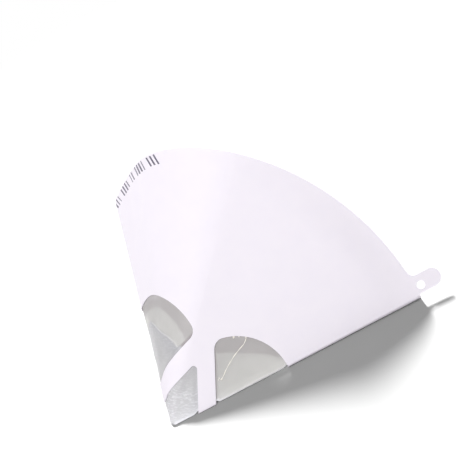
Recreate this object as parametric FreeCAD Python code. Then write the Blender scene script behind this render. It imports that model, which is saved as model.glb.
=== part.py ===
# A disposable paint strainer: a fan of white paper rolled into a cone and glued, with a cone of
# fine nylon mesh glued inside its tip. It has been opened out of its flat pack, so the cone is
# three flat walls with a rounded bend between each two. It lies on its lower wall, with its mouth
# to +Y and its seam fold at +X. Every straight line of the paper passes through the tip.
import FreeCAD, Part
import math
import os
from dataclasses import dataclass, replace

from FreeCAD import Placement, Rotation, Vector

# Driving dimensions, in millimetres and degrees

# The rolled blank
slant = 150.0  # tip to rim, along the paper
paper = 0.35  # thickness of the paper
upper_wall_deg = 65.5  # angle at the tip, from the seam fold to the crown
end_wall_deg = 40.6  # angle at the tip, from the crown to the heel
crown_deg = 113.2  # angle between the upper wall and the end wall
seam_fold_radius = 2.0  # at the rim, where the upper wall turns into the lower wall
crown_radius = 61.0  # at the rim, between the upper wall and the end wall
heel_radius = 9.5  # at the rim, between the end wall and the lower wall
overlap = 15.0  # width at the rim of the flap that is glued inside the lower wall

# The cut-outs of the blank, measured along a fold line and across it
window_reach = 70.2  # tip to the far end of the window across the seam fold
window_radius = 30.4  # of its outer edge
window_near = 27.0  # tip to its near end
leg_slope_deg = 64.5  # between its legs and the fold line
leg_width = 9.5
back_reach = 75.2  # the same of the window across the other fold
back_radius = 34.4
back_near = 26.5
back_slope_deg = 70.0
back_leg_width = 10.8
window_corner = 6.0
neck_corner = 1.8  # of the tip opening, below each neck

# The hanging tab on the upper wall, beside the seam fold
tab_reach = 15.0  # beyond the rim
tab_width = 9.8
tab_notch = 4.0  # of the corner between the tab and the rim
hole_radius = 2.3
hole_reach = 3.0  # beyond the rim
hole_inset = 4.0  # from the tab's side at the seam fold

# The filter
mesh = 0.15  # thickness of the mesh
mesh_slant = 80.0  # tip to the mesh's top edge
glue_gap = 0.14  # glue between the mesh and the paper

# Cutting
die_height = 6.0  # a die reaches half of this to each side of a flat wall
stretch_deg = 60.0  # a bend is cut in stretches that turn by no more than this
section_count = 44  # across a window, where a bend's die is lofted
die_margin = 0.04  # of a window's angle, left off where its edge closes

TIP = Vector(0, 0, 0)
UP = Vector(0, 0, 1)
MOUTH = Vector(0, 1, 0)


def sin(degrees):
    return math.sin(math.radians(degrees))


def cos(degrees):
    return math.cos(math.radians(degrees))


def tan(degrees):
    return math.tan(math.radians(degrees))


def unit(vector):
    return vector / vector.Length


def turned(vector, axis, degrees):
    """The vector turned about axis by the right-hand rule."""
    return Rotation(axis, degrees).multVec(vector)


def turn_between(axis, start, stop):
    """Degrees from start to stop about axis, from 0 to 360."""
    side = axis.cross(start)
    return math.degrees(math.atan2(stop.dot(side), stop.dot(side.cross(axis)))) % 360


@dataclass(frozen=True)
class Strip:
    """A strip of the rolled sheet, swept by a straight line that turns about an axis at the tip.

    A bend is a strip of a cone, with its half-angle, and a wall is one with a half-angle of 90.
    start and normal are the first line and its outward normal. at is that line's angle on the
    flat blank, counted from the seam fold.
    """

    axis: Vector
    start: Vector
    normal: Vector
    half_deg: float
    turn: float
    at: float = 0.0

    @property
    def width(self):
        """The angle that the strip takes up on the flat blank."""
        return self.turn * sin(self.half_deg)

    def line(self, share):
        return turned(self.start, self.axis, self.turn * share)

    def outward(self, share):
        return turned(self.normal, self.axis, self.turn * share)

    def part(self, first, last):
        """The stretch of the strip between two shares of its turn."""
        return replace(
            self,
            start=self.line(first),
            normal=self.outward(first),
            turn=self.turn * (last - first),
            at=self.at + self.width * first,
        )


def fold_lines():
    """The directions of the seam fold, the crown and the heel, with the lower wall level."""
    # the walls make a spherical triangle, which gives the lower wall and the angle at the seam
    cos_lower = cos(upper_wall_deg) * cos(end_wall_deg)
    cos_lower += sin(upper_wall_deg) * sin(end_wall_deg) * cos(crown_deg)
    lower_wall_deg = math.degrees(math.acos(cos_lower))
    cos_seam = cos(end_wall_deg) - cos(upper_wall_deg) * cos_lower
    cos_seam /= sin(upper_wall_deg) * sin(lower_wall_deg)
    seam_deg = math.degrees(math.acos(cos_seam))
    seam = turned(MOUTH, UP, -lower_wall_deg / 2)
    heel = turned(MOUTH, UP, lower_wall_deg / 2)
    crown = turned(turned(seam, UP, upper_wall_deg), seam, seam_deg)
    return seam, crown, heel


def bend_strip(fold, before, after, rim_radius):
    """The cone that rounds a fold line between two walls, given by their outward normals."""
    half = math.degrees(math.asin(rim_radius / slant))
    both = before + after
    lean = math.degrees(math.asin(2 * sin(half) / both.Length))
    centre = fold * cos(lean) - unit(both) * sin(lean)
    start = unit(centre + before * sin(half))
    stop = unit(centre + after * sin(half))
    return Strip(-centre, start, before, half, turn_between(-centre, start, stop))


def wall_strip(normal, bend_before, bend_after):
    """The flat wall between two bends."""
    start = bend_before.line(1)
    return Strip(normal, start, normal, 90, turn_between(normal, start, bend_after.start))


def rolled_strips():
    """The strips in order: seam fold, upper wall, crown, end wall, heel, lower wall."""
    seam, crown, heel = fold_lines()
    upper = unit(seam.cross(crown))
    end = unit(crown.cross(heel))
    lower = -UP
    seam_bend = bend_strip(seam, lower, upper, seam_fold_radius)
    crown_bend = bend_strip(crown, upper, end, crown_radius)
    heel_bend = bend_strip(heel, end, lower, heel_radius)
    in_order = [
        seam_bend,
        wall_strip(upper, seam_bend, crown_bend),
        crown_bend,
        wall_strip(end, crown_bend, heel_bend),
        heel_bend,
        wall_strip(lower, heel_bend, seam_bend),
    ]
    placed = []
    at = -seam_bend.width / 2
    for strip in in_order:
        placed.append(replace(strip, at=at))
        at += strip.width
    return placed


def quad(start, normal, near, far, inside, outside):
    """A four-sided wire across the sheet. inside and outside are pairs, for near and far."""
    corners = [
        start * near + normal * inside[0],
        start * far + normal * inside[1],
        start * far + normal * outside[1],
        start * near + normal * outside[0],
    ]
    return Part.makePolygon(corners + corners[:1])


def swept(strip, near, far, inside, outside):
    """The solid of a strip, from near to far from the tip, between two offsets of the sheet."""
    wire = quad(strip.start, strip.normal, near, far, (inside, inside), (outside, outside))
    return Part.Face(wire).revolve(TIP, strip.axis, strip.turn)


def laid(shape, wall, degrees):
    """A shape drawn on the flat blank along +X, laid on a wall at an angle of the blank."""
    along = wall.line(0.5)
    across = wall.normal.cross(along)
    on_wall = Placement(TIP, Rotation(along, across, wall.normal, "ZXY"))
    on_blank = Placement(TIP, Rotation(UP, degrees - wall.at - wall.width / 2))
    copy = shape.copy()
    copy.Placement = on_wall.multiply(on_blank).multiply(copy.Placement)
    return copy


@dataclass(frozen=True)
class Window:
    """A window that lies across a fold line: a disc with a pointed near side."""

    reach: float
    radius: float
    near: float
    slope_deg: float
    leg: float

    @property
    def throat(self):
        """The distance from the tip, along the fold line, to the near side of the legs."""
        return self.near - self.leg / sin(self.slope_deg)

    @property
    def half_deg(self):
        """Half the angle that the window takes up, seen from the tip."""
        # the rounded corner's centre is inside the disc and inside the leg's edge alike
        centre = self.reach - self.radius
        inner = self.radius - window_corner
        offset = window_corner + (self.near - centre) * sin(self.slope_deg)
        turn = self.slope_deg - 90 + math.degrees(math.acos(offset / inner))
        x, y = centre + inner * cos(turn), inner * sin(turn)
        return math.degrees(math.atan2(y, x) + math.asin(window_corner / math.hypot(x, y)))


SEAM_WINDOW = Window(window_reach, window_radius, window_near, leg_slope_deg, leg_width)
BACK_WINDOW = Window(back_reach, back_radius, back_near, back_slope_deg, back_leg_width)


def prism(corners, bottom, top):
    """A straight block on an outline of (x, y) corners."""
    points = [Vector(x, y, bottom) for x, y in corners]
    return Part.Face(Part.makePolygon(points + points[:1])).extrude(UP * (top - bottom))


def polar(reach, degrees):
    """A point of the flat blank, whose seam fold lies along +X."""
    return Vector(reach * cos(degrees), reach * sin(degrees), 0)


def rounded(die, radius, near, far):
    """A die with rounded corners, between near and far from the tip."""
    corners = []
    for edge in die.Edges:
        box = edge.BoundBox
        if box.ZLength > die_height / 2 and near < math.hypot(box.XMin, box.YMin) < far:
            corners.append(edge)
    return die.makeFillet(radius, corners)


def window_die(window):
    """The die of a window across the fold line along +X."""
    half = die_height / 2
    disc = Part.makeCylinder(
        window.radius, die_height, Vector(window.reach - window.radius, 0, -half)
    )
    far = window.near + 2 * window.radius * cos(window.slope_deg)
    side = 2 * window.radius * sin(window.slope_deg)
    beyond = far + 2 * window.reach
    point = [(window.near, 0), (far, side), (beyond, side), (beyond, -side), (far, -side)]
    die = disc.common(prism(point, -half, half))
    return rounded(die, window_corner, window.near * 1.1, window.reach)


def tip_die(fold_deg):
    """The die of the opening at the tip, from the seam fold to the other fold."""
    # a leg's edge, as the distance from the tip at an angle from its own fold line
    seam, back = SEAM_WINDOW, BACK_WINDOW

    def edge(window, off_deg):
        return window.throat * sin(window.slope_deg) / sin(window.slope_deg - off_deg)

    # the two edges meet at the neck
    a = seam.throat * sin(seam.slope_deg)
    b = back.throat * sin(back.slope_deg)
    lean = fold_deg - back.slope_deg
    neck_deg = math.degrees(
        math.atan2(
            b * sin(seam.slope_deg) + a * sin(lean), b * cos(seam.slope_deg) + a * cos(lean)
        )
    )
    beyond = 20
    points = [
        polar(edge(seam, neck_deg), neck_deg),
        polar(edge(seam, -beyond), -beyond),
        TIP,
        polar(edge(back, -beyond), fold_deg + beyond),
    ]
    die = prism([(p.x, p.y) for p in points], -die_height / 2, die_height / 2)
    peak = points[0].Length
    return rounded(die, neck_corner, peak * 0.99, peak * 1.01)


def turned_about_tip(shape, degrees):
    copy = shape.copy()
    copy.rotate(TIP, UP, degrees)
    return copy


def all_round(fold_deg):
    """The dies of the windows, with the angles at their middles, and those of the tip opening."""
    windows = [(i * fold_deg, (SEAM_WINDOW, BACK_WINDOW)[i % 2]) for i in (0, 1, 2)]
    placed = [(at, window, turned_about_tip(window_die(window), at)) for at, window in windows]
    tip = tip_die(fold_deg)
    mirrored = turned_about_tip(tip.mirror(TIP, MOUTH), 2 * fold_deg)
    tips = [tip, mirrored]
    tips += [turned_about_tip(mirrored, -2 * fold_deg), turned_about_tip(tip, 2 * fold_deg)]
    return placed, tips


def span(die, degrees):
    """The distances from the tip at which a line of the blank enters and leaves a die."""
    cut = Part.makeLine(TIP, polar(2 * slant, degrees)).common(die)
    reaches = [vertex.Point.Length for vertex in cut.Vertexes]
    return (min(reaches), max(reaches)) if reaches else None


def lofted(stretch, angles, ends_at):
    """A die across a stretch of a bend. ends_at gives its two edges at an angle."""
    wires = []
    for angle in angles:
        share = (angle - stretch.at) / stretch.width
        ends = ends_at(angle)
        inside = [-0.5 * end * tan(stretch.half_deg) for end in ends]
        outside = (die_height, die_height)
        wires.append(quad(stretch.line(share), stretch.outward(share), *ends, inside, outside))
    return Part.makeLoft(wires, True, True)


def between(first, last, angles):
    """The angles that lie inside a range, with the range's ends and without near repeats."""
    step = (last - first) * 0.01
    kept = [first]
    for angle in sorted(angles):
        if kept[-1] + step < angle < last - step:
            kept.append(angle)
    return kept + [last]


def bend_dies(stretch, windows, tips, fold_deg):
    """The dies of the openings across a stretch of a bend."""
    first, last = stretch.at, stretch.at + stretch.width
    dies = []
    for at, window, die in windows:
        half = window.half_deg - die_margin
        low, high = max(first, at - half), min(last, at + half)
        if low < high:
            steps = [180 * (i / section_count - 0.5) for i in range(section_count + 1)]
            angles = between(low, high, [at + half * sin(step) for step in steps])
            dies.append(lofted(stretch, angles, lambda angle: span(die, angle)))

    def to_neck(angle):
        reaches = [each[1] for each in (span(tip, angle) for tip in tips) if each]
        return SEAM_WINDOW.throat / 4, max(reaches)

    steps = math.ceil(stretch.width / 1.5)
    angles = [first + stretch.width * i / steps for i in range(steps + 1)]
    angles = between(first, last, angles + [0, fold_deg])
    return dies + [lofted(stretch, angles, to_neck)]


def tab_blank():
    """The tab, with the line where the upper wall leaves the seam fold along +X."""
    end_radius = tab_width / 2
    centre = Vector(slant + tab_reach - end_radius, end_radius, 0)
    root = slant - tab_width
    corners = [(root, 0), (centre.x, 0), (centre.x, tab_width), (root, tab_width)]
    return prism(corners, 0, paper).fuse(Part.makeCylinder(end_radius, paper, centre))


def with_tab(wall, strip):
    """The upper wall with its tab and the tab's hole."""
    wall = wall.fuse(laid(tab_blank(), strip, strip.at)).removeSplitter()
    notch = Part.Vertex(math.sqrt(slant**2 - tab_width**2), tab_width, paper / 2)
    corner = laid(notch, strip, strip.at).Point
    edge = min(wall.Edges, key=lambda each: (each.CenterOfMass - corner).Length)
    wall = wall.makeFillet(tab_notch, [edge])
    centre = Vector(slant + hole_reach, hole_inset, -die_height / 2)
    hole = Part.makeCylinder(hole_radius, die_height, centre)
    return wall.cut(laid(hole, strip, strip.at))


def paper_cone(strips):
    """The rolled and glued blank, with windows across its two fold lines and an open tip."""
    seam_bend, upper, crown_bend, end, heel_bend, lower = strips
    fold_deg = sum(strip.width for strip in strips) / 2
    start = SEAM_WINDOW.throat / 2
    windows, tips = all_round(fold_deg)

    def cut_wall(sheet, wall):
        return sheet.cut([laid(die, wall, 0) for die in [each[2] for each in windows] + tips])

    pieces = []
    for wall in (upper, end, lower):
        pieces.append(cut_wall(swept(wall, start, slant, 0, paper), wall))
    pieces[0] = with_tab(pieces[0], upper)
    flap = lower.part(1 - math.degrees(overlap / slant) / lower.width, 1)
    pieces.append(cut_wall(swept(flap, start, slant, -paper, 0), flap))
    for bend in (seam_bend, crown_bend, heel_bend):
        count = math.ceil(bend.turn / stretch_deg)
        for number in range(count):
            stretch = bend.part(number / count, (number + 1) / count)
            dies = bend_dies(stretch, windows, tips, fold_deg)
            pieces.append(swept(stretch, start, slant, 0, paper).cut(dies))
    return pieces[0].multiFuse(pieces[1:]).removeSplitter()


def filter_mesh(strips):
    """The mesh cone, with walls parallel to the paper's, set in by the glue and by the flap."""
    upper, end, lower = (strips[i].normal for i in (1, 3, 5))
    inset = glue_gap + mesh
    shift = (end.cross(lower) + lower.cross(upper)) * inset
    shift += upper.cross(end) * (inset + paper)
    shift /= -upper.dot(end.cross(lower))
    pieces = [swept(strip, 0, mesh_slant, 0, mesh) for strip in strips]
    cone = pieces[0].multiFuse(pieces[1:]).removeSplitter()
    cone.translate(shift)
    return cone


def main():
    strips = rolled_strips()
    nodes = {"paper_cone": paper_cone(strips), "filter_mesh": filter_mesh(strips)}
    box = Part.makeCompound(list(nodes.values())).optimalBoundingBox(False, False)
    to_floor = Vector(-box.Center.x, -box.Center.y, paper)
    os.makedirs("parts", exist_ok=True)
    for name, shape in nodes.items():
        shape.translate(to_floor)
        shape.exportStep(f"parts/{name}.step")
        print(name, shape.ShapeType, len(shape.Solids), shape.isValid(), round(shape.Volume, 2))


main()
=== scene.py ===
"""A disposable paint strainer: a rolled paper cone with a filter of fine nylon mesh in its tip.

The cone lies on its flat lower wall, with its mouth to +Y and its seam fold at +X. Everything on
it is placed on the flat blank first, by its distance from the tip and its angle from the seam
fold, and is then rolled up with the paper.
"""
import logging
import math
import random
from collections.abc import Callable
from dataclasses import dataclass, field, replace
from enum import Enum, IntEnum

import bmesh
import bpy
from mathutils import Matrix, Quaternion, Vector, noise


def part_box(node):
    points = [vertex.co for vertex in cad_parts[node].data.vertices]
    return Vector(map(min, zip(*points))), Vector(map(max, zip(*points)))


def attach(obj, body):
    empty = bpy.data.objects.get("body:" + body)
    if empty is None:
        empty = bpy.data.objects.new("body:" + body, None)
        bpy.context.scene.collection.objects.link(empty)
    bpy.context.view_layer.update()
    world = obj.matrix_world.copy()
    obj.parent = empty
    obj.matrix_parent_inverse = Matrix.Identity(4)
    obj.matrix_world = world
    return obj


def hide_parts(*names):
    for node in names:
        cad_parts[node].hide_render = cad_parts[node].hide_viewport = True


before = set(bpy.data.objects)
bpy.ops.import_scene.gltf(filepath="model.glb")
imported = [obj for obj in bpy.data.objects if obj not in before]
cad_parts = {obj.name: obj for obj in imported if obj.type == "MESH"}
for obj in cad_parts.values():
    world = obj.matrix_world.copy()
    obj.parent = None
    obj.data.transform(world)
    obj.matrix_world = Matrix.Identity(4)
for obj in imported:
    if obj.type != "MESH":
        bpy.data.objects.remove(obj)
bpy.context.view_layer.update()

log = logging.getLogger("paint_strainer")

MM = 0.001
UP = Vector((0, 0, 1))
MOUTH = Vector((0, 1, 0))
WHITE = (1.0, 1.0, 1.0, 1.0)
CREASED_DEG = 30.0  # faces that meet at more than this keep a sharp edge
HAIR = 1e-9  # an angle that is lost in rounding
WAVE = 0.314  # the length of a wave of the wave texture at a scale of 1
RIPPLE_SHIFT = Vector((7, 3, 1))  # sets a fine pattern apart from the slow one under it
CLOTH_SHIFT = Vector((2, 9, 4))

# points on the flat blank, each as its reach in millimetres and its angle in degrees
Line = tuple[tuple[float, float], ...]
# what an input of a node gets: an output socket, a node whose first output it is, or a value
Feed = bpy.types.Node | bpy.types.NodeSocket | float | tuple[float, ...]


# The shape of the rolled blank


class Side(IntEnum):
    """The strips of the rolled blank, in the order in which they follow each other."""

    SEAM_FOLD = 0
    UPPER = 1
    CROWN = 2
    END = 3
    HEEL = 4
    LOWER = 5


class Fold(IntEnum):
    """The two fold lines of the flat pack. Each has a window across it."""

    SEAM = 0
    BACK = 1


@dataclass(frozen=True)
class Strip:
    """A strip of the rolled sheet: a flat wall, or the bend between two walls.

    It is swept by a straight line through the tip, which turns about an axis through the tip.
    A bend is a strip of a cone, with its half-angle, and a wall has a half-angle of 90 degrees.
    Angles are in radians, and at is the first line's angle on the flat blank.
    """

    axis: Vector
    start: Vector
    normal: Vector
    half: float
    turn: float
    at: float = 0.0

    @property
    def width(self) -> float:
        """The angle that the strip takes up on the flat blank."""
        return self.turn * math.sin(self.half)

    @property
    def is_wall(self) -> bool:
        """Whether the strip is a flat wall."""
        return math.isclose(self.half, math.pi / 2)

    def line(self, share: float) -> Vector:
        """The direction of the line at a share of the strip's turn."""
        return Quaternion(self.axis, self.turn * share) @ self.start

    def outward(self, share: float) -> Vector:
        """The outward normal at a share of the strip's turn."""
        return Quaternion(self.axis, self.turn * share) @ self.normal


@dataclass(frozen=True)
class Flat:
    """A place on the flat blank: distance from the tip, angle, and height above the sheet.

    The height is counted outwards from the paper's inner face.
    """

    reach: float
    angle: float
    height: float = 0.0

    @property
    def spot(self) -> Vector:
        """The place as a point of the flat blank, with X along the seam fold."""
        return Vector((self.reach * math.cos(self.angle), self.reach * math.sin(self.angle), 0))


def turn_between(axis: Vector, start: Vector, stop: Vector) -> float:
    """The angle from start to stop about an axis.

    Args:
        axis: The axis, of length 1.
        start: The direction to count from, at right angles to the axis or not.
        stop: The direction to count to.

    Returns:
        The angle in radians, from 0 to a full turn.
    """
    side = axis.cross(start)
    return math.atan2(stop.dot(side), stop.dot(side.cross(axis))) % math.tau


@dataclass
class RolledBlank:
    """The fan-shaped blank, rolled into three flat walls with a bend between each two.

    Lengths are in metres and angles in degrees, as the part's own.
    """

    slant: float = 150 * MM
    paper: float = 0.35 * MM
    upper_wall: float = 65.5
    end_wall: float = 40.6
    crown: float = 113.2
    seam_fold_radius: float = 2 * MM
    crown_radius: float = 61 * MM
    heel_radius: float = 9.5 * MM
    rim_points: int = 32  # on each strip, to find how far the rim reaches
    past_weight: float = 3.0  # how much more a miss past a strip's end counts than one over it
    strips: list[Strip] = field(init=False)
    tip: Vector = field(init=False)

    def __post_init__(self) -> None:
        """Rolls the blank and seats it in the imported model's box."""
        self.strips = self._rolled()
        low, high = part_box("paper_cone")
        shares = [number / self.rim_points for number in range(self.rim_points + 1)]
        reach_left = min(
            (strip.line(share) * self.slant + strip.outward(share) * self.paper).x
            for strip in self.strips
            for share in shares
        )
        self.tip = Vector((low.x - reach_left, high.y - self.slant, low.z + self.paper))

    def _fold_lines(self) -> tuple[Vector, Vector, Vector]:
        """Works out the fold lines' directions, with the lower wall level.

        Returns:
            The directions of the seam fold, the crown and the heel.
        """
        upper, end, crown = (math.radians(a) for a in (self.upper_wall, self.end_wall, self.crown))
        cos_lower = math.cos(upper) * math.cos(end)
        cos_lower += math.sin(upper) * math.sin(end) * math.cos(crown)
        lower = math.acos(cos_lower)
        cos_seam = math.cos(end) - math.cos(upper) * cos_lower
        cos_seam /= math.sin(upper) * math.sin(lower)
        seam_line = Quaternion(UP, -lower / 2) @ MOUTH
        heel_line = Quaternion(UP, lower / 2) @ MOUTH
        level = Quaternion(UP, upper) @ seam_line
        crown_line = Quaternion(seam_line, math.acos(cos_seam)) @ level
        return seam_line, crown_line, heel_line

    def _bend(self, fold: Vector, before: Vector, after: Vector, radius: float) -> Strip:
        """The cone that rounds a fold line.

        Args:
            fold: The fold line's direction.
            before: The outward normal of the wall before it.
            after: The outward normal of the wall after it.
            radius: The bend's radius at the rim.

        Returns:
            The strip of the bend.
        """
        half = math.asin(radius / self.slant)
        both = before + after
        lean = math.asin(2 * math.sin(half) / both.length)
        centre = fold * math.cos(lean) - both.normalized() * math.sin(lean)
        start = (centre + before * math.sin(half)).normalized()
        stop = (centre + after * math.sin(half)).normalized()
        return Strip(-centre, start, before, half, turn_between(-centre, start, stop))

    @staticmethod
    def _wall(normal: Vector, before: Strip, after: Strip) -> Strip:
        """The flat wall between two bends."""
        start = before.line(1)
        return Strip(normal, start, normal, math.pi / 2, turn_between(normal, start, after.start))

    def _rolled(self) -> list[Strip]:
        """Rolls the blank.

        Returns:
            Its strips, in the order of Side.
        """
        seam, crown, heel = self._fold_lines()
        upper = seam.cross(crown).normalized()
        end = crown.cross(heel).normalized()
        seam_bend = self._bend(seam, -UP, upper, self.seam_fold_radius)
        crown_bend = self._bend(crown, upper, end, self.crown_radius)
        heel_bend = self._bend(heel, end, -UP, self.heel_radius)
        strips = (
            seam_bend,
            self._wall(upper, seam_bend, crown_bend),
            crown_bend,
            self._wall(end, crown_bend, heel_bend),
            heel_bend,
            self._wall(-UP, heel_bend, seam_bend),
        )
        placed = []
        at = -seam_bend.width / 2
        for strip in strips:
            placed.append(replace(strip, at=at))
            at += strip.width
        return placed

    @property
    def width(self) -> float:
        """The angle of the whole rolled blank, from the seam fold once round to itself."""
        return sum(strip.width for strip in self.strips)

    @property
    def fold(self) -> float:
        """The angle between the two folds of the flat pack."""
        return self.width / 2

    @property
    def facing(self) -> Vector:
        """The outward normal of the upper wall."""
        return self.strips[Side.UPPER].normal

    def from_seam(self, angle: float) -> float:
        """The shortest way round the blank from the seam fold to an angle."""
        return abs((angle + self.width / 2) % self.width - self.width / 2)

    def inset(self, all_round: float, lower: float) -> Vector:
        """How far a cone laid inside the paper is moved from the tip.

        Args:
            all_round: Its distance from each wall's inner face.
            lower: What is added to that over the lower wall.

        Returns:
            The move, as a vector.
        """
        walls = (Side.UPPER, Side.END, Side.LOWER)
        upper_n, end_n, lower_n = (self.strips[side].normal for side in walls)
        shift = (end_n.cross(lower_n) + lower_n.cross(upper_n)) * all_round
        shift += upper_n.cross(end_n) * (all_round + lower)
        return -shift / upper_n.dot(end_n.cross(lower_n))

    def place(self, flat: Flat) -> Vector:
        """Rolls up a place on the flat blank.

        Args:
            flat: The place. Its angle may be any number of times round the blank.

        Returns:
            The point where it comes to lie.
        """
        first = self.strips[Side.SEAM_FOLD].at
        angle = (flat.angle - first) % self.width + first
        strip = next(s for s in reversed(self.strips) if angle >= s.at - HAIR)
        share = (angle - strip.at) / strip.width
        return self.tip + strip.line(share) * flat.reach + strip.outward(share) * flat.height

    def outward(self, angle: float) -> Vector:
        """The outward normal at an angle of the blank."""
        return (self.place(Flat(1, angle, 1)) - self.place(Flat(1, angle, 0))).normalized()

    def flat(self, point: Vector) -> Flat:
        """Unrolls a point on the rolled sheet, or near it.

        Args:
            point: The point.

        Returns:
            Its place on the flat blank, by the strip that it misses least.
        """
        way = point - self.tip
        best = None
        for strip in self.strips:
            turn = turn_between(strip.axis, strip.start, way)
            if turn > strip.turn / 2 + math.pi:
                turn -= math.tau
            past = max(0.0, -turn, turn - strip.turn) * way.length
            share = turn / strip.turn
            height = way.dot(strip.outward(share))
            miss = past * self.past_weight + abs(height - self.paper / 2)
            if best is None or miss < best[0]:
                reach = way.dot(strip.line(share))
                best = miss, Flat(reach, strip.at + strip.width * share, height)
        return best[1]


@dataclass(frozen=True)
class Window:
    """A window that lies across a fold line: a disc whose near side is a point between two legs.

    Its farthest and nearest points are on the fold line, and the slope is each leg's to that line.
    """

    reach: float
    radius: float
    near: float
    slope: float
    leg_width: float

    def far_edge(self, off: float) -> float:
        """Finds the window's round edge.

        Args:
            off: An angle off the fold line.

        Returns:
            The edge's distance from the tip at that angle.
        """
        centre = self.reach - self.radius
        across = centre * math.sin(off)
        return centre * math.cos(off) + math.sqrt(max(0.0, self.radius**2 - across**2))

    def depth(self, reach: float, off: float) -> tuple[float, float]:
        """How far inside the window a place lies, and how far inside the opening at the tip.

        Args:
            reach: The place's distance from the tip.
            off: Its angle off the fold line.

        Returns:
            Both lengths, negative outside.
        """
        along, across = reach * math.cos(off), reach * math.sin(off)
        leg = (along - self.near) * math.sin(self.slope) - across * math.cos(self.slope)
        return min(self.from_arc(reach, off), leg), -leg - self.leg_width

    def from_arc(self, reach: float, off: float) -> float:
        """How far inside the window's round edge a place lies, or outside it if negative."""
        along, across = reach * math.cos(off), reach * math.sin(off)
        return self.radius - math.hypot(along - self.reach + self.radius, across)


@dataclass
class CutOuts:
    """The cut-outs of the blank: a window across each fold line, and the open tip."""

    fold: float
    windows: tuple[Window, Window] = (
        Window(70.2 * MM, 30.4 * MM, 27.0 * MM, math.radians(64.5), 9.5 * MM),
        Window(75.2 * MM, 34.4 * MM, 26.5 * MM, math.radians(70.0), 10.8 * MM),
    )  # in the order of Fold

    def nearest(self, angle: float) -> tuple[Fold, float]:
        """The fold line that is nearest to an angle of the blank, and the angle between them."""
        number = round(angle / self.fold)
        return Fold(number % len(Fold)), abs(angle - number * self.fold)

    def depth(self, flat: Flat) -> float:
        """Finds how far inside an opening a place lies.

        Args:
            flat: The place.

        Returns:
            Its distance from the paper's edge, negative under the paper.
        """
        before = math.floor(flat.angle / self.fold)
        depths = [
            self.windows[number % len(Fold)].depth(
                flat.reach, abs(flat.angle - number * self.fold)
            )
            for number in (before, before + 1)
        ]
        return max(*(inside for inside, _ in depths), min(at_tip for _, at_tip in depths))


# Finishes


def colour(value: str) -> tuple[float, float, float, float]:
    """Turns an sRGB colour into a linear one.

    Args:
        value: The colour as a hex value such as "#F0F0F0".

    Returns:
        Its red, green and blue, and an alpha of 1.
    """
    channels = [int(value[i : i + 2], 16) / 255 for i in (1, 3, 5)]
    linear = [c / 12.92 if c <= 0.04045 else ((c + 0.055) / 1.055) ** 2.4 for c in channels]
    return (*linear, 1.0)


def add(
    tree: bpy.types.NodeTree,
    kind: str,
    inputs: dict[str | int, Feed] | None = None,
    **settings: object,
) -> bpy.types.Node:
    """Adds a node with its settings and links.

    Args:
        tree: The node tree that it is added to.
        kind: The node's type, without its ShaderNode.
        inputs: What its inputs get, by the input's name or number.
        settings: Properties of the node, and values of its inputs under their names, with
            an underscore for each space.

    Returns:
        The node.
    """
    node = tree.nodes.new("ShaderNode" + kind)
    named = {socket.name.replace(" ", "_"): socket for socket in reversed(node.inputs)}
    for name, value in settings.items():
        if name in named:
            named[name].default_value = value
        else:
            setattr(node, name, value)
    for name, feed in (inputs or {}).items():
        if isinstance(feed, bpy.types.Node):
            feed = feed.outputs[0]
        if isinstance(feed, bpy.types.NodeSocket):
            tree.links.new(feed, node.inputs[name])
        else:
            node.inputs[name].default_value = feed
    return node


def new_material(name: str) -> tuple[bpy.types.Material, bpy.types.NodeTree]:
    """Makes an empty node-based material.

    Args:
        name: Its name.

    Returns:
        The material and its node tree.
    """
    material = bpy.data.materials.new(name)
    material.use_nodes = True
    material.node_tree.nodes.clear()
    return material, material.node_tree


@dataclass(frozen=True)
class PaperFinish:
    """Smooth bleached paper, calendered: nearly white with a faint lilac brightener.

    It has the soft clouds of its fibre, a very fine tooth, and lets a little light through.
    """

    shade: str = "#F7F2F9"
    cloud_shade: str = "#F3EEF7"
    cloud_mm: float = 9.0
    fibre_mm: float = 0.9
    tooth_mm: float = 0.05
    through: float = 0.12

    def material(self) -> bpy.types.Material:
        """Makes the finish.

        Returns:
            The material, which reads the blank's own map.
        """
        material, tree = new_material("bleached_paper")
        uv = add(tree, "UVMap", uv_map="blank")
        clouds = add(tree, "TexNoise", {"Vector": uv}, Scale=1 / (self.cloud_mm * MM), Detail=3.0)
        tint = add(
            tree,
            "Mix",
            {"Factor": clouds, 6: colour(self.shade), 7: colour(self.cloud_shade)},
            data_type="RGBA",
        ).outputs[2]
        # paper fibres are about 0.03 mm across, and are drawn coarser so that they show
        fibre = add(tree, "TexNoise", {"Vector": uv}, Scale=1 / (self.fibre_mm * MM), Detail=4.0)
        tooth = add(tree, "Bump", {"Height": fibre}, Strength=0.10, Distance=self.tooth_mm * MM)
        body = add(
            tree, "BsdfPrincipled", {"Base Color": tint, "Normal": tooth}, Roughness=0.62, IOR=1.45
        )
        glow = add(tree, "BsdfTranslucent", {"Color": tint})
        both = add(tree, "MixShader", {1: body, 2: glow}, Fac=self.through)
        add(tree, "OutputMaterial", {"Surface": both})
        return material


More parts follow.
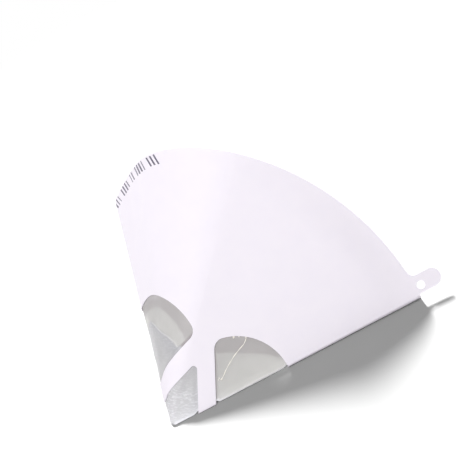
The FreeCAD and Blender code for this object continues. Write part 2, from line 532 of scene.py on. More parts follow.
@dataclass(frozen=True)
class NylonMeshFinish:
    """Fine woven nylon: a light grey veil that shows what lies behind it.

    Its threads are too fine to see one by one. A painted shadow of the paper's edge darkens it
    along the windows' edges, and a cool painted shade darkens it below a crease towards the tip.
    It is whiter and denser where it is creased or worn, with a painted highlight on the seam fold.
    """

    shade: str = "#EFEEEC"
    hem_shade: str = "#BDB7B9"
    cool_shade: str = "#DCDCE1"
    white_and_highlight_colour: str = "#FCFCFF"
    thread_mm: float = 0.9
    thread_height: float = 0.01  # against that of the wrinkles
    wrinkle_mm: float = 2.2
    wrinkle_height_mm: float = 0.22
    fleck_mm: float = 0.9
    fleck_length: float = 2.6  # against its width
    fleck_turn: float = math.radians(-27.5)
    fleck_gain: float = 1.5
    fleck_floor: float = -0.72  # with the gain, how much of the noise becomes flecks
    cloud_mm: float = 50 / 7
    through: float = 0.35
    open_share: float = 0.52
    thread_share: float = 0.02  # how far the openings follow the threads
    cloud_share: float = 0.06  # and the clouds
    crease_closed: float = 0.8  # the share of the openings that a crease closes
    hem_closed: float = 0.35

    def material(self) -> bpy.types.Material:
        """Makes the finish.

        Returns:
            The material, which reads the blank's map and the mesh's attributes.
        """
        material, tree = new_material("woven_nylon")
        uv = add(tree, "UVMap", uv_map="blank")
        hem, cool, crease, worn = (
            add(tree, "Attribute", attribute_name=name).outputs["Fac"]
            for name in ("hem", "cool", "crease", "worn")
        )
        # the real weave has three to five threads in a millimetre, and is drawn coarser to show
        threads = [
            add(
                tree,
                "TexWave",
                {"Vector": uv},
                bands_direction=direction,
                Scale=WAVE / (self.thread_mm * MM),
                Distortion=0.4,
                Detail=1.0,
            ).outputs["Fac"]
            for direction in ("X", "Y")
        ]
        weave = add(tree, "Math", {0: threads[0], 1: threads[1]}, operation="ADD")
        white = self._white(tree, uv, crease, worn)
        shade = colour(self.shade)
        # painted edge shadow and shade under the crease, then white with a painted seam highlight
        shades = ((hem, self.hem_shade), (cool, self.cool_shade), (white, self.white_and_highlight_colour))
        for factor, over in shades:
            inputs = {"Factor": factor, 6: shade, 7: colour(over)}
            shade = add(tree, "Mix", inputs, data_type="RGBA").outputs[2]
        noise_scale = 1 / (self.wrinkle_mm * MM)
        wrinkles = add(tree, "TexNoise", {"Vector": uv}, Scale=noise_scale, Detail=3.0)
        wrinkled = add(tree, "Math", {0: wrinkles, 1: worn}, operation="MULTIPLY")
        inputs = {0: weave, 1: self.thread_height, 2: wrinkled}
        height = add(tree, "Math", inputs, operation="MULTIPLY_ADD")
        relief = self.wrinkle_height_mm * MM
        bump = add(tree, "Bump", {"Height": height}, Strength=0.5, Distance=relief)
        cloth = add(
            tree, "BsdfPrincipled", {"Base Color": shade, "Normal": bump}, Roughness=0.42, IOR=1.53
        )
        glow = add(tree, "BsdfTranslucent", {"Color": shade})
        body = add(tree, "MixShader", {1: cloth, 2: glow}, Fac=self.through)
        openings = self._openings(tree, uv, weave, white, hem)
        clear = add(tree, "BsdfTransparent")
        both = add(tree, "MixShader", {0: openings, 1: body, 2: clear})
        add(tree, "OutputMaterial", {"Surface": both})
        return material

    def _white(self, tree: bpy.types.NodeTree, uv: Feed, crease: Feed, worn: Feed) -> Feed:
        """Adds the soft white scratches of worn cloth, drawn out across the filter's tip.

        Args:
            tree: The material's node tree.
            uv: The blank's map.
            crease: How white it is on creases and at the tip, with a painted seam fold highlight.
            worn: How far it is worn.

        Returns:
            How white it is in all, from 0 to 1.
        """
        across = add(
            tree,
            "Mapping",
            {"Vector": uv},
            vector_type="TEXTURE",
            Rotation=(0.0, 0.0, self.fleck_turn),
            Scale=(self.fleck_length, 1.0, 1.0),
        )
        noise_scale = 1 / (self.fleck_mm * MM)
        scratches = add(tree, "TexNoise", {"Vector": across}, Scale=noise_scale, Detail=3.0)
        inputs = {0: scratches, 1: self.fleck_gain, 2: self.fleck_floor}
        flecks = add(tree, "Math", inputs, operation="MULTIPLY_ADD", use_clamp=True)
        flecks = add(tree, "Math", {0: flecks, 1: worn}, operation="MULTIPLY")
        return add(tree, "Math", {0: flecks, 1: crease}, operation="ADD", use_clamp=True)

    def _openings(
        self, tree: bpy.types.NodeTree, uv: Feed, weave: Feed, white: Feed, hem: Feed
    ) -> Feed:
        """Adds the openings between the threads: fewer where it is white or in painted edge
        shadow.

        Args:
            tree: The material's node tree.
            uv: The blank's map.
            weave: The height of the threads.
            white: How white the cloth is.
            hem: How dark the painted shadow of the paper's edge makes it.

        Returns:
            The share of the cloth that is open.
        """
        clouds = add(tree, "TexNoise", {"Vector": uv}, Scale=1 / (self.cloud_mm * MM), Detail=3.0)
        share = self.open_share - self.thread_share / 2
        for pattern, gain in ((weave, -self.thread_share), (clouds, self.cloud_share)):
            inputs = {0: pattern, 1: gain, 2: share}
            share = add(tree, "Math", inputs, operation="MULTIPLY_ADD", use_clamp=True)
        dense = 1.0
        for cause, closed in ((white, self.crease_closed), (hem, self.hem_closed)):
            inputs = {0: cause, 1: -closed, 2: dense}
            dense = add(tree, "Math", inputs, operation="MULTIPLY_ADD", use_clamp=True)
        return add(tree, "Math", {0: share, 1: dense}, operation="MULTIPLY", use_clamp=True)


@dataclass(frozen=True)
class InkFinish:
    """Grey-violet offset ink on paper: thin, matt, and a little uneven."""

    shade: str = "#454152"
    thin_shade: str = "#6F6A7D"
    patch_mm: float = 10 / 9

    def material(self) -> bpy.types.Material:
        """Makes the finish.

        Returns:
            The material.
        """
        material, tree = new_material("offset_ink")
        here = add(tree, "TexCoord").outputs["Object"]
        noise_scale = 1 / (self.patch_mm * MM)
        patches = add(tree, "TexNoise", {"Vector": here}, Scale=noise_scale, Detail=2.0)
        inputs = {"Factor": patches, 6: colour(self.shade), 7: colour(self.thin_shade)}
        tint = add(tree, "Mix", inputs, data_type="RGBA").outputs[2]
        body = add(tree, "BsdfPrincipled", {"Base Color": tint}, Roughness=0.6)
        add(tree, "OutputMaterial", {"Surface": body})
        return material


@dataclass(frozen=True)
class GlueFinish:
    """Dried hot-melt glue: cream, glossy and slightly cloudy."""

    shade: str = "#F3F0EA"
    cloud_shade: str = "#E2DCD0"
    cloud_mm: float = 2.0

    def material(self) -> bpy.types.Material:
        """Makes the finish.

        Returns:
            The material.
        """
        material, tree = new_material("dried_glue")
        here = add(tree, "TexCoord").outputs["Object"]
        noise_scale = 1 / (self.cloud_mm * MM)
        clouds = add(tree, "TexNoise", {"Vector": here}, Scale=noise_scale, Detail=2.0)
        inputs = {"Factor": clouds, 6: colour(self.shade), 7: colour(self.cloud_shade)}
        tint = add(tree, "Mix", inputs, data_type="RGBA").outputs[2]
        body = add(tree, "BsdfPrincipled", {"Base Color": tint}, Roughness=0.14, IOR=1.49)
        add(tree, "OutputMaterial", {"Surface": body})
        return material


@dataclass(frozen=True)
class FloorFinish:
    """Plain pale card: matt and faintly mottled."""

    shade: str = "#969696"
    grain_shade: str = "#939393"
    bounce_shade: str = "#8A8A8A"
    grain_mm: float = 25.0
    near: float = 0.17  # up to here the floor is seen as it is lit
    far: float = 1.6  # and from this many times as far it is plain white

    def material(self) -> bpy.types.Material:
        """Makes the finish.

        Returns:
            The material.
        """
        material, tree = new_material("pale_floor")
        here = add(tree, "TexCoord").outputs["Object"]
        grain = add(tree, "TexNoise", {"Vector": here}, Scale=1 / (self.grain_mm * MM))
        inputs = {"Factor": grain, 6: colour(self.shade), 7: colour(self.grain_shade)}
        tint = add(tree, "Mix", inputs, data_type="RGBA").outputs[2]
        # the low lamp's light stays off the object, so the floor throws less of it back
        ray = add(tree, "LightPath").outputs
        inputs = {"Factor": ray["Is Diffuse Ray"], 6: tint, 7: colour(self.bounce_shade)}
        shade = add(tree, "Mix", inputs, data_type="RGBA").outputs[2]
        matt = add(tree, "BsdfDiffuse", {"Color": shade})
        # away from the object it turns to plain white, as a wide sheet of paper would
        away = add(tree, "VectorMath", {0: here}, operation="LENGTH").outputs["Value"]
        fade = add(
            tree, "MapRange", {"Value": away}, From_Min=self.near, From_Max=self.far * self.near
        )
        seen = add(tree, "Math", {0: fade, 1: ray["Is Camera Ray"]}, operation="MULTIPLY")
        white = add(tree, "Emission", Color=WHITE, Strength=1.0)
        both = add(tree, "MixShader", {0: seen, 1: matt, 2: white})
        add(tree, "OutputMaterial", {"Surface": both})
        return material


# Pieces


def finish_object(
    bm: bmesh.types.BMesh, name: str, material: bpy.types.Material
) -> bpy.types.Object:
    """Makes a piece of a bmesh.

    Args:
        bm: The piece's mesh, in place. It is freed.
        name: The piece's name.
        material: Its finish.

    Returns:
        The object, at the origin and smooth, apart from its sharp edges.
    """
    for face in bm.faces:
        face.smooth = True
    for edge in bm.edges:
        if edge.is_manifold and edge.calc_face_angle() > math.radians(CREASED_DEG):
            edge.smooth = False
    mesh = bpy.data.meshes.new(name)
    bm.to_mesh(mesh)
    bm.free()
    mesh.materials.append(material)
    piece = bpy.data.objects.new(name, mesh)
    bpy.context.scene.collection.objects.link(piece)
    return piece


def report(piece: bpy.types.Object) -> None:
    """Reports a piece that is finished."""
    log.info("%s: %d faces", piece.name, len(piece.data.polygons))


def smoothstep(value: float) -> float:
    """A smooth rise from 0 at 0 to 1 at 1."""
    value = min(1.0, max(0.0, value))
    return value * value * (3 - 2 * value)


@dataclass
class PaperCone:
    """The rolled paper, with the slight unevenness that a wall of loose paper has."""

    blank: RolledBlank
    stiff_reach: float = 82 * MM  # up to here the glued mesh keeps the paper flat
    sag: float = 0.9 * MM
    sag_size: float = 38 * MM  # about the width of a hollow
    ripple: float = 0.12 * MM
    ripple_size: float = 11 * MM
    end_slack: float = 0.5  # how loose the end wall is, against the upper wall
    roll: float = 2.4 * MM  # how far the upper wall stands proud near the seam fold
    roll_width: float = 9 * MM
    roll_from: float = 40 * MM
    roll_to: float = 128 * MM  # from here to the rim it fades, so that the tab stays flat
    roll_share: float = 0.375  # of the upper wall's width, from where it fades to the crown
    facet: float = 5 * MM
    facet_shift: float = 0.37  # of a facet, which keeps the cuts off the part's own edges
    weld: float = 0.002 * MM
    finish: PaperFinish = PaperFinish()

    def sway(self, flat: Flat) -> float:
        """How far the paper stands proud of its flat wall at a place, or inside it if negative."""
        return self._roll(flat) + self._slack(flat)

    def _roll(self, flat: Flat) -> float:
        """Works out the soft roll of the upper wall towards the seam fold.

        Args:
            flat: The place on the blank.

        Returns:
            How far the roll lifts the paper there.
        """
        upper = self.blank.strips[Side.UPPER]
        across = (flat.angle - upper.at) / upper.width
        if not 0 < across < 1:
            return 0.0
        slant = self.blank.slant
        grown = smoothstep((flat.reach - self.roll_from) / (slant - self.roll_from))
        grown *= 1 - smoothstep((flat.reach - self.roll_to) / (slant - self.roll_to))
        rise = 1 - math.exp(-flat.reach * math.sin(flat.angle - upper.at) / self.roll_width)
        fade = smoothstep((across - self.roll_share) / (1 - self.roll_share))
        return self.roll * grown * rise * (1 - fade)

    def _slack(self, flat: Flat) -> float:
        """Works out the hollows of the loose paper.

        Args:
            flat: The place on the blank.

        Returns:
            How far the paper lies off its flat wall there, which is never positive.
        """
        slant = self.blank.slant
        free = smoothstep((flat.reach - self.stiff_reach) / (slant - self.stiff_reach))
        if free == 0:
            return 0.0
        lean = 0.0
        for side, share in ((Side.UPPER, 1.0), (Side.END, self.end_slack)):
            strip = self.blank.strips[side]
            across = (flat.angle - strip.at) / strip.width
            if 0 < across < 1:
                lean = share * math.sin(across * math.pi) ** 2
        slow = 0.5 + 0.5 * noise.noise(flat.spot / self.sag_size)
        quick = 0.5 + 0.5 * noise.noise(flat.spot / self.ripple_size + RIPPLE_SHIFT)
        return -free * lean * (self.sag * slow + self.ripple * quick)

    def build(self) -> bpy.types.Object:
        """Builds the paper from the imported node's own mesh.

        Returns:
            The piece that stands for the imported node.
        """
        bm = bmesh.new()
        bm.from_mesh(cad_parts["paper_cone"].data)
        bmesh.ops.remove_doubles(bm, verts=bm.verts, dist=self.weld)
        self._cut_facets(bm)
        places = {vert: self.blank.flat(vert.co) for vert in bm.verts}
        for vert, flat in places.items():
            vert.co += self.blank.outward(flat.angle) * self.sway(flat)
        layer = bm.loops.layers.uv.new("blank")
        for face in bm.faces:
            for loop in face.loops:
                loop[layer].uv = places[loop.vert].spot.xy
        piece = finish_object(bm, "rolled_paper", self.finish.material())
        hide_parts("paper_cone")
        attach(piece, "root")
        return piece

    def _cut_facets(self, bm: bmesh.types.BMesh) -> None:
        """Cuts the paper along X, Y and Z into facets that are small enough to bend.

        Args:
            bm: The paper's mesh.
        """
        low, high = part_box("paper_cone")
        for axis in range(3):
            count = int((high[axis] - low[axis]) / self.facet)
            normal = Vector([float(i == axis) for i in range(3)])
            for number in range(1, count + 1):
                cut = Vector(low)
                cut[axis] += (high[axis] - low[axis]) * (number - self.facet_shift) / count
                bmesh.ops.bisect_plane(
                    bm,
                    geom=bm.verts[:] + bm.edges[:] + bm.faces[:],
                    dist=self.weld / 2,
                    plane_co=cut,
                    plane_no=normal,
                )
        bmesh.ops.triangulate(bm, faces=[f for f in bm.faces if len(f.verts) > 4])


@dataclass
class RimPrint:
    """Groups of plain printed bars, side by side under the rim, from the crown to the heel."""

    blank: RolledBlank
    paper: PaperCone
    groups: tuple[int, ...] = (3, 4, 2, 4, 3)
    first: float = math.radians(68.0)
    last: float = math.radians(95.0)
    top: float = 149.2 * MM
    length: float = 6.8 * MM
    shorter_mm: tuple[float, float] = (0.0, 0.9)  # how much shorter a bar may be
    lean: float = 4.4 * MM  # how far a bar's top is towards the heel
    width: float = 1.05 * MM
    widths: tuple[float, float] = (0.7, 1.5)  # a bar's own, against that width
    film: float = 0.02 * MM
    seed: int = 5
    finish: InkFinish = InkFinish()

    def build(self) -> bpy.types.Object:
        """Builds the bars.

        Returns:
            All of them as one piece.
        """
        rng = random.Random(self.seed)
        steps = sum(self.groups) + len(self.groups) - 1
        bm = bmesh.new()
        slot = 0
        for group in self.groups:
            for _ in range(group):
                centre = self.first + (self.last - self.first) * (slot + 0.5) / steps
                width = self.width * rng.uniform(*self.widths)
                self._bar(bm, centre, width, rng.uniform(*self.shorter_mm) * MM)
                slot += 1
            slot += 1
        bmesh.ops.solidify(bm, geom=bm.faces[:], thickness=-2 * self.film)
        bmesh.ops.recalc_face_normals(bm, faces=bm.faces)
        piece = finish_object(bm, "rim_print", self.finish.material())
        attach(piece, "root")
        return piece

    def _bar(self, bm: bmesh.types.BMesh, centre: float, width: float, short: float) -> None:
        """Adds one bar.

        Args:
            bm: The mesh that it is added to.
            centre: Its angle on the blank.
            width: Its width.
            short: How much shorter it is than the longest.
        """
        for vert in bmesh.ops.create_grid(bm, x_segments=4, y_segments=1, size=0.5)["verts"]:
            reach = self.top - short / 2 - (self.length - short) * (0.5 - vert.co.x)
            angle = centre + (width * vert.co.y + self.lean * vert.co.x) / reach
            height = self.blank.paper + self.paper.sway(Flat(reach, angle)) + self.film
            vert.co = self.blank.place(Flat(reach, angle, height))


@dataclass
class ClothMarks:
    """The wear, creases and painted light and shade on the filter's cloth, 0 to 1 at each place.
    """

    blank: RolledBlank
    cuts: CutOuts
    crease_width: float = 0.45 * MM
    crease_white: float = 0.3
    seam_highlight_width: float = 1.0 * MM
    seam_highlight: float = 0.8
    tip_white: float = 0.5
    tip_reach: float = 40 * MM  # from here towards the tip the cloth turns whiter
    tip_fade: float = 36 * MM
    worn_reach: float = 30 * MM
    worn_fade: float = 12 * MM
    worn_below_border: float = 0.45
    shade_border_softness: float = 1.8 * MM  # the softness of the painted shade's border
    cool_fade: float = 7 * MM
    cool_left: float = 0.45  # of the painted shade, far below that border
    hem_depths: tuple[float, float] = (11.5 * MM, 7.0 * MM)  # in the order of Fold
    hem_full: float = math.radians(21)  # off the seam fold, where the painted edge shadow has its whole depth
    hem_edge: float = 0.7 * MM
    hem_dark: float = 0.52
    line_width: float = 0.55 * MM  # of the painted shadow line along the paper's edge
    shade_border_line: Line = (
        (17.0, 0.0),
        (22.0, 20.0),
        (40.0, 41.0),
        (42.0, 58.5),
        (48.0, 67.5),
        (53.0, 77.5),
        (62.0, 88.5),
    )
    creases: tuple[Line, ...] = (
        ((60.0, 86.0), (53.0, 77.5), (48.0, 67.5), (45.0, 61.5), (42.0, 58.5)),
        ((18.1, 40.0), (19.6, 35.0), (20.4, 30.0)),
        ((16.0, 61.0), (16.2, 50.0), (16.7, 41.0), (17.2, 33.0), (18.0, 27.0)),
    )

    def values(self) -> dict[str, Callable[[Flat], float]]:
        """The attributes that the cloth's finish reads, with what gives their value at a place."""
        return {"hem": self.hem, "cool": self.cool, "crease": self.whiteness, "worn": self.worn}

    def crease(self, flat: Flat) -> float:
        """Finds how near a crease a place lies.

        Args:
            flat: The place.

        Returns:
            1 on a crease, and less beside it.
        """
        nearest = 1.0
        for line in self.creases:
            points = [Flat(reach * MM, math.radians(angle)).spot for reach, angle in line]
            for start, stop in zip(points, points[1:]):
                along, way = stop - start, flat.spot - start
                share = min(1.0, max(0.0, way.dot(along) / along.length_squared))
                nearest = min(nearest, (way - along * share).length)
        return math.exp(-((nearest / self.crease_width) ** 2))

    def whiteness(self, flat: Flat) -> float:
        """Finds how white the cloth is drawn, with a painted highlight along the seam fold.

        Args:
            flat: The place.

        Returns:
            1 where it is whitest, which is along the creases and the seam fold, and at the tip.
        """
        from_seam = flat.reach * self.blank.from_seam(flat.angle)
        white = self.crease_white * self.crease(flat)
        # a painted highlight along the seam fold
        white += self.seam_highlight * math.exp(-((from_seam / self.seam_highlight_width) ** 2))
        at_tip = min(1.0, max(0.0, (self.tip_reach - flat.reach) / self.tip_fade))
        return min(1.0, white + self.tip_white * at_tip)

    def worn(self, flat: Flat) -> float:
        """How far the cloth is scratched and wrinkled at a place."""
        near_tip = smoothstep((self.worn_reach - flat.reach) / self.worn_fade)
        return max(near_tip, self.worn_below_border * self.cool(flat))

    def cool(self, flat: Flat) -> float:
        """Finds how much painted shade lies on the cloth below the crease.

        Args:
            flat: The place.

        Returns:
            1 just below the crease, less towards the tip, and 0 above.
        """
        # painted blue-grey shade, darkest just below the crease
        below = self.loose(flat) - flat.reach
        left = self.cool_left + (1 - self.cool_left) * math.exp(-below / self.cool_fade)
        return smoothstep(below / self.shade_border_softness + 0.5) * left

    def loose(self, flat: Flat) -> float:
        """Finds the border of the painted shade towards the tip.

        Args:
            flat: A place at the same angle of the blank.

        Returns:
            The border's distance from the tip.
        """
        fold = self.cuts.fold
        off = math.degrees(fold - abs(flat.angle % (2 * fold) - fold))
        for (r0, a0), (r1, a1) in zip(self.shade_border_line, self.shade_border_line[1:]):
            if off <= a1:
                return (r0 + (r1 - r0) * (off - a0) / (a1 - a0)) * MM
        return self.shade_border_line[-1][0] * MM

    def hem(self, flat: Flat) -> float:
        """Finds how dark the painted shadow of the paper's edge makes the cloth.

        Args:
            flat: The place.

        Returns:
            1 along the paper's edge, less on the painted shadow band inside it, and 0 elsewhere.
        """
        fold, off = self.cuts.nearest(flat.angle)
        window = self.cuts.windows[fold]
        if fold is Fold.BACK:
            within = self.hem_depths[fold] - window.from_arc(flat.reach, off)
        else:
            straight = self.hem_depths[fold] * smoothstep(off / self.hem_full)
            within = flat.reach - window.far_edge(off) + straight
        # a painted shadow line along the paper's edge, and a painted shadow band inside the round
        # edges
        line = math.exp(-((max(0.0, self.cuts.depth(flat)) / self.line_width) ** 2))
        return max(line, self.hem_dark * smoothstep(within / self.hem_edge + 0.5))


@dataclass
class FilterMesh:
    """The cone of nylon mesh inside the paper's tip: it sags in the windows and is creased."""

    blank: RolledBlank
    cuts: CutOuts
    marks: ClothMarks
    cloth: float = 0.15 * MM
    glue_gap: float = 0.14 * MM
    slant: float = 80 * MM
    blunt: float = 3.0 * MM  # the tip is pressed flat up to here
    point: float = 0.45  # how far the middle of its end is drawn out to the tip
    step: float = 0.72 * MM
    bend_step: float = 11.0  # degrees of a bend between two lines of the mesh
    sag: float = 0.7 * MM
    sag_size: float = 14 * MM
    sag_shares: tuple[tuple[float, float], ...] = ((0.45, 2 * MM), (0.55, 9 * MM))
    ripple: float = 0.05 * MM
    ripple_size: float = 3.5 * MM
    ridge: float = 0.35 * MM  # how far a crease stands out
    ridge_depth: float = 3 * MM
    held_by_fold: float = 5 * MM
    bulge: float = 0.8  # how far the cloth comes out to the folds in the windows
    bulge_depth: float = 2.5 * MM
    weld: float = 0.001 * MM
    finish: NylonMeshFinish = NylonMeshFinish()

    def columns(self) -> list[float]:
        """Finds the angles of the mesh's lines, closer together where it bends.

        Returns:
            The angles, from the seam fold once round to itself.
        """
        angles = []
        for strip in self.blank.strips:
            arc = strip.width * self.slant / self.step
            bends = 0 if strip.is_wall else math.degrees(strip.turn) / self.bend_step
            count = max(1, round(max(arc, bends)))
            angles += [strip.at + strip.width * i / count for i in range(count)]
        return angles + [self.blank.strips[Side.SEAM_FOLD].at + self.blank.width]

    def sink(self, flat: Flat) -> float:
        """Finds how far the cloth lies inside its stretched place.

        Args:
            flat: The place. The sag comes in by shares, each over its own depth in the window.

        Returns:
            The distance, negative where a crease stands out.
        """
        depth = self.cuts.depth(flat)
        free = sum(share * smoothstep(depth / width) for share, width in self.sag_shares)
        free *= smoothstep(flat.reach * self.blank.from_seam(flat.angle) / self.held_by_fold)
        slack = 0.75 + 0.5 * noise.noise(flat.spot / self.sag_size)
        fine = noise.noise(flat.spot / self.ripple_size + CLOTH_SHIFT)
        crease = self.marks.crease(flat) * smoothstep(depth / self.ridge_depth)
        return free * (self.sag * slack + self.ripple * fine) - self.ridge * crease * free

    def place(self, flat: Flat) -> Vector:
        """Lays a place of the cloth into the rolled paper.

        Args:
            flat: The place, with its height counted from the cloth's inner face.

        Returns:
            The point where it comes to lie.
        """
        shift = self.blank.inset(self.glue_gap + self.cloth, self.blank.paper)
        shift *= 1 - self.bulge * smoothstep(self.cuts.depth(flat) / self.bulge_depth)
        return self.blank.place(replace(flat, height=flat.height - self.sink(flat))) + shift

    def build(self) -> bpy.types.Object:
        """Builds the cloth: an inner and an outer face, joined along the rim.

        Returns:
            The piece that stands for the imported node.
        """
        bm = bmesh.new()
        for name in self.marks.values():
            bm.verts.layers.float.new(name)
        bm.loops.layers.uv.new("blank")
        rims = []
        for height in (0.0, self.cloth):
            rims += self._skin(bm, height)
        bmesh.ops.bridge_loops(bm, edges=rims)
        bmesh.ops.recalc_face_normals(bm, faces=bm.faces)
        piece = finish_object(bm, "nylon_filter", self.finish.material())
        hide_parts("filter_mesh")
        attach(piece, "root")
        self.blank.width / 2 * self.slant**2
        return piece

    def _skin(self, bm: bmesh.types.BMesh, height: float) -> list[bmesh.types.BMEdge]:
        """Adds one face of the cloth, closed at the tip.

        Args:
            bm: The mesh that it is added to.
            height: Its height above the cloth's inner face.

        Returns:
            The edges of its open rim.
        """
        angles = self.columns()
        count = len(angles) - 1
        rows = round((self.slant - self.blunt) / self.step)
        layers = {bm.verts.layers.float[name]: at for name, at in self.marks.values().items()}
        layer = bm.loops.layers.uv["blank"]
        skin = bmesh.ops.create_grid(bm, x_segments=rows, y_segments=count, size=0.5)
        places = {}
        for vert in skin["verts"]:
            reach = self.blunt + (self.slant - self.blunt) * (vert.co.x + 0.5)
            column = round((vert.co.y + 0.5) * count)
            places[vert] = Flat(reach, angles[column])
            # the last line comes to lie on the first, and is shaped as that one
            flat = Flat(reach, angles[column % count], height)
            for attribute, value_at in layers.items():
                vert[attribute] = value_at(flat)
            vert.co = self.place(flat)
        for face in {face for vert in places for face in vert.link_faces}:
            for loop in face.loops:
                loop[layer].uv = places[loop.vert].spot.xy
        bmesh.ops.remove_doubles(bm, verts=list(places), dist=self.weld)
        kept = [vert for vert in places if vert.is_valid]
        edges = dict.fromkeys(edge for vert in kept for edge in vert.link_edges)
        open_edges = [edge for edge in edges if edge.is_boundary]
        tip = self.blank.tip
        ring = [e for e in open_edges if (e.verts[0].co - tip).length < 3 * self.blunt]
        cap = bmesh.ops.edgeloop_fill(bm, edges=ring)["faces"]
        for vert in bmesh.ops.poke(bm, faces=cap)["verts"]:
            vert.co += (tip - vert.co) * self.point
        return [edge for edge in open_edges if edge not in ring]


@dataclass
class GlueMarks:
    """A thread of glue that has run down the mesh, and drops of it by the paper's edge."""

    mesh: FilterMesh
    thread: Line = (
        (61.8, 22.3),
        (58.5, 21.3),
        (54.7, 21.3),
        (50.3, 21.0),
        (46.1, 20.0),
        (42.5, 18.9),
        (37.3, 16.0),
    )
    thickness: float = 0.26 * MM
    uneven: float = 0.25  # of the thread's thickness
    swells: float = 5.0  # radians of its swelling for each run of the line
    thread_flat: float = 0.6  # its height, against its width
    sides: int = 8
    cuts_per_run: int = 5
    drops: tuple[tuple[float, float, float], ...] = (
        (59.8, 25.6, 0.50),
        (58.0, 27.6, 0.60),
        (56.6, 30.0, 0.40),
        (61.9, 22.6, 0.60),
        (37.0, 15.9, 0.50),
        (35.2, 16.9, 0.40),
        (36.3, 17.8, 0.35),
    )  # each with its radius in millimetres after its place
    drop_flat: float = 0.4
    drop_lift: float = 0.08 * MM
    drop_stretch: float = 0.35  # at most, and it changes from drop to drop
    drop_change: float = 2.1
    finish: GlueFinish = GlueFinish()

    def _on_mesh(self, reach: float, angle: float, height: float) -> Vector:
        """A point over the mesh's outer face."""
        return self.mesh.place(Flat(reach, angle, self.mesh.cloth + height))

    def build(self) -> bpy.types.Object:
        """Builds the drops and the thread.

        Returns:
            All of the glue as one piece.
        """
        bm = bmesh.new()
        for number, (reach, angle, size) in enumerate(self.drops):
            stretch = 1.0 + self.drop_stretch * math.sin(self.drop_change * number)
            drop = bmesh.ops.create_icosphere(bm, subdivisions=2, radius=size * MM)["verts"]
            for vert in drop:
                x, y, z = vert.co
                r = reach * MM + x * stretch
                a = math.radians(angle) + y / r
                vert.co = self._on_mesh(r, a, z * self.drop_flat + self.drop_lift)
        self._thread(bm)
        piece = finish_object(bm, "glue_marks", self.finish.material())
        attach(piece, "root")
        return piece

    def _thread(self, bm: bmesh.types.BMesh) -> None:
        """Adds the thread: a bar that is divided along its length and laid along its line.

        Args:
            bm: The mesh that it is added to.
        """
        runs = len(self.thread) - 1
        bar = bmesh.ops.create_cone(
            bm, segments=self.sides, radius1=1, radius2=1, depth=1, cap_ends=True
        )["verts"]
        edges = dict.fromkeys(edge for vert in bar for edge in vert.link_edges)
        long_edges = [e for e in edges if abs(e.verts[0].co.z - e.verts[1].co.z) > 0.5]
        cuts = runs * self.cuts_per_run - 1
        bmesh.ops.subdivide_edges(bm, edges=long_edges, cuts=cuts, use_grid_fill=True)
        # the bar is two metres wide until it is laid, and the drops lie close to the origin
        for vert in [vert for vert in bm.verts if vert.co.length > 0.5]:
            along = (vert.co.z + 0.5) * runs
            number = min(int(along), runs - 1)
            share = along - number
            (r0, a0), (r1, a1) = self.thread[number : number + 2]
            reach = (r0 + (r1 - r0) * share) * MM
            angle = math.radians(a0 + (a1 - a0) * share)
            swell = 1 - self.uneven + self.uneven * math.sin(along * self.swells)
            width = self.thickness * swell
            height = vert.co.y * width * self.thread_flat
            vert.co = self._on_mesh(reach, angle + vert.co.x * width / reach, height)


class Lamp(Enum):
    """The studio's lamps: size and power, and direction to the right, up and out of the view.

    The low lamp lights the floor alone, for the long shadow. The key lamp lights everything.
    """

    KEY = (1.0, 13.1, (-0.46, 0.15, 0.875))
    LOW = (0.15, 103.0, (-0.479, 0.868, -0.130))


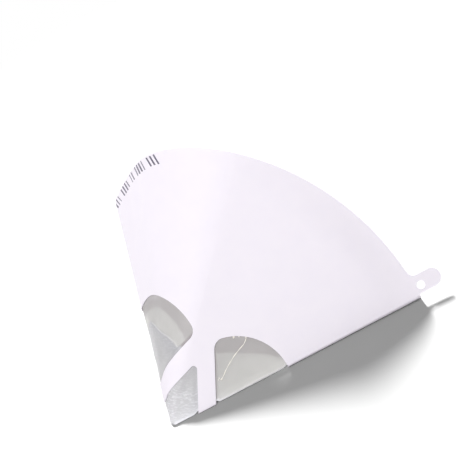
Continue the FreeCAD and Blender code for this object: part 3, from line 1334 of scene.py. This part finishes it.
@dataclass
class Studio:
    """A pale floor that fades to white, soft lamps, and the camera, square to the upper wall."""

    blank: RolledBlank
    distance: float = 0.7
    seam_slope: float = math.radians(62.5)  # of the seam fold in the view, from upright
    frame_width: float = 250 * MM
    across: float = 34.05 * MM  # from the tip to the middle of the view
    above: float = 102.4 * MM
    sensor: float = 36.0
    clip_start: float = 0.05
    lamp_distance: float = 1.2
    floor_size: float = 3.0
    floor_gap: float = 0.05 * MM
    soft_light: float = 0.34
    floor_finish: FloorFinish = FloorFinish()

    def axes(self) -> tuple[Vector, Vector, Vector]:
        """Works out the view's axes.

        Returns:
            The directions to the right, up, and towards the camera.
        """
        out = self.blank.facing
        bend = self.blank.strips[Side.SEAM_FOLD]
        turned = Quaternion(-out, bend.half) @ self.blank.strips[Side.UPPER].start
        side = out.cross(turned)
        sin, cos = math.sin(self.seam_slope), math.cos(self.seam_slope)
        return turned * sin - side * cos, turned * cos + side * sin, out

    def build(self) -> None:
        """Adds the camera, the floor, the lamps and the world."""
        right, up, _ = self.axes()
        target = self.blank.tip + right * self.across + up * self.above
        self._camera(target)
        floor = self._floor()
        for lamp in Lamp:
            self._lamp(lamp, target, floor)
        self._world()

    def _camera(self, target: Vector) -> None:
        """Adds the camera.

        Args:
            target: The point that it looks at.
        """
        right, up, out = self.axes()
        turn = Matrix((right, up, out)).transposed().to_4x4()
        camera = bpy.data.objects.new("camera", bpy.data.cameras.new("camera"))
        camera.data.sensor_width = self.sensor
        camera.data.lens = self.sensor * self.distance / self.frame_width
        camera.data.clip_start = self.clip_start
        camera.matrix_world = Matrix.Translation(target + out * self.distance) @ turn
        bpy.context.scene.collection.objects.link(camera)
        bpy.context.scene.camera = camera

    def _lamp(self, lamp: Lamp, target: Vector, floor: bpy.types.Object) -> None:
        """Adds a lamp.

        Args:
            lamp: Which one.
            target: The point that it shines at.
            floor: The floor, which is all that the low lamp lights.
        """
        size, power, (x, y, z) = lamp.value
        light = bpy.data.lights.new(lamp.name.lower(), "AREA")
        light.shape = "DISK"
        light.size = size
        light.energy = power
        place = bpy.data.objects.new(light.name, light)
        right, up, out = self.axes()
        way = (right * x + up * y + out * z).normalized()
        turn = way.to_track_quat("Z", "Y").to_matrix().to_4x4()
        place.matrix_world = Matrix.Translation(target + way * self.lamp_distance) @ turn
        bpy.context.scene.collection.objects.link(place)
        if lamp is Lamp.LOW:
            lit = bpy.data.collections.new("lit_by_low_lamp")
            lit.objects.link(floor)
            place.light_linking.receiver_collection = lit

    def _floor(self) -> bpy.types.Object:
        """Adds the floor, a hair below the object so that the two don't touch.

        Returns:
            The floor.
        """
        bm = bmesh.new()
        bmesh.ops.create_grid(bm, x_segments=1, y_segments=1, size=self.floor_size)
        bmesh.ops.translate(bm, verts=bm.verts, vec=-UP * self.floor_gap)
        floor = finish_object(bm, "floor", self.floor_finish.material())
        return floor

    def _world(self) -> None:
        """Makes the world: white to the camera and in reflections, and soft on the object."""
        world = bpy.data.worlds.new("studio")
        world.use_nodes = True
        tree = world.node_tree
        tree.nodes.clear()
        soft = add(tree, "Background", Color=WHITE, Strength=self.soft_light)
        white = add(tree, "Background", Color=WHITE, Strength=1.0)
        ray = add(tree, "LightPath").outputs
        seen = ray["Is Camera Ray"]
        for name in ("Is Glossy Ray", "Is Transmission Ray"):
            seen = add(tree, "Math", {0: seen, 1: ray[name]}, operation="MAXIMUM")
        both = add(tree, "MixShader", {0: seen, 1: soft, 2: white})
        add(tree, "OutputWorld", {"Surface": both})
        bpy.context.scene.world = world


def main() -> None:
    """Builds the strainer and its studio."""
    logging.basicConfig(level=logging.INFO, format="%(name)s %(message)s")
    blank = RolledBlank()
    cuts = CutOuts(blank.fold)
    paper = PaperCone(blank)
    mesh = FilterMesh(blank, cuts, ClothMarks(blank, cuts))
    report(paper.build())
    report(RimPrint(blank, paper).build())
    report(mesh.build())
    report(GlueMarks(mesh).build())
    Studio(blank).build()
    bpy.context.scene.view_settings.view_transform = "Standard"


if __name__ == "__main__":
    main()
